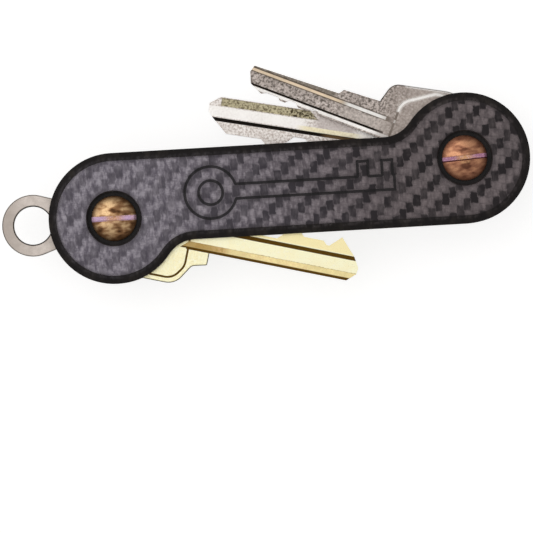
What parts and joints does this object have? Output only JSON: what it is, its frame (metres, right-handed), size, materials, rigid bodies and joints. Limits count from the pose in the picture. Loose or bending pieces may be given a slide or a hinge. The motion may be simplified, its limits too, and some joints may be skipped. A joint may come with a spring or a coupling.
{
  "type": "key organiser",
  "caption": "Pocket key organiser: flat keys, a bottle opener and a ring tab swing out on two posts between a front plate and a clipped back plate.",
  "frame": {"origin": "on the outer face of the pocket clip, which the organiser lies on, midway between the two post axes", "axes": "+X from the ring tab's post to the pocket clip's post, +Z out of the front plate, +Y completes the frame, towards the side where the silver keys fan out"},
  "size_m": [0.1051, 0.0448, 0.017],
  "materials": {
    "carbon_fibre": "twill carbon fibre laminate, satin clear coat, machined black edges",
    "stonewashed_titanium": "tumbled titanium with a fine grain and worn edges",
    "clip_titanium": "lighter satin spring titanium",
    "bronze_titanium": "bronze anodised, turned, with a violet slot",
    "post_steel": "turned and polished",
    "washer_steel": "stamped",
    "tab_steel": "satin",
    "opener_steel": "satin",
    "key_brass": "pale, used",
    "key_nickel": "nickel plated, used"
  },
  "bodies": {
    "root": {"front_plate": "carbon_fibre", "back_plate": "stonewashed_titanium", "post_left": "post_steel", "post_right": "post_steel", "screw_left": "bronze_titanium", "screw_right": "bronze_titanium", "washer_left_2": "washer_steel", "washer_left_3": "washer_steel", "washer_left_4": "washer_steel", "washer_right_1": "washer_steel", "washer_right_2": "washer_steel", "washer_right_3": "washer_steel", "washer_right_4": "washer_steel", "base_shim": "washer_steel", "post_spacer": "washer_steel", "clip_base": "clip_titanium"},
    "brass_key": {"brass_key": "key_brass"},
    "silver_key_front": {"silver_key_front": "key_nickel"},
    "silver_key_rear": {"silver_key_rear": "key_nickel"},
    "ring_tab": {"ring_tab": "tab_steel"},
    "bottle_opener": {"bottle_opener": "opener_steel"},
    "clip_arm": {"clip_arm": "clip_titanium"}
  },
  "joints": [
    {"name": "brass_key_swing", "type": "hinge", "parent": "root", "child": "brass_key", "pos_m": [-0.035, 0, 0.01235], "axis": [0, 0, -1], "range_deg": [-11, 159]},
    {"name": "silver_key_front_swing", "type": "hinge", "parent": "root", "child": "silver_key_front", "pos_m": [0.035, 0, 0.01235], "axis": [0, 0, -1], "range_deg": [-22, 150]},
    {"name": "silver_key_rear_swing", "type": "hinge", "parent": "root", "child": "silver_key_rear", "pos_m": [0.035, 0, 0.00985], "axis": [0, 0, -1], "range_deg": [-10, 160]},
    {"name": "ring_tab_swing", "type": "hinge", "parent": "root", "child": "ring_tab", "pos_m": [-0.035, 0, 0.00985], "axis": [0, 0, 1], "range_deg": [-60, 60]},
    {"name": "bottle_opener_swing", "type": "hinge", "parent": "root", "child": "bottle_opener", "pos_m": [0.035, 0, 0.00735], "axis": [0, 0, 1], "range_deg": [0, 150]},
    {"name": "clip_flex", "type": "hinge", "parent": "root", "child": "clip_arm", "pos_m": [0.02528, -0.00056, 0.00242], "axis": [-0.1132, -0.9936, 0], "range_deg": [0, 4], "stiffness_Nm_per_rad": 0.3}
  ]
}
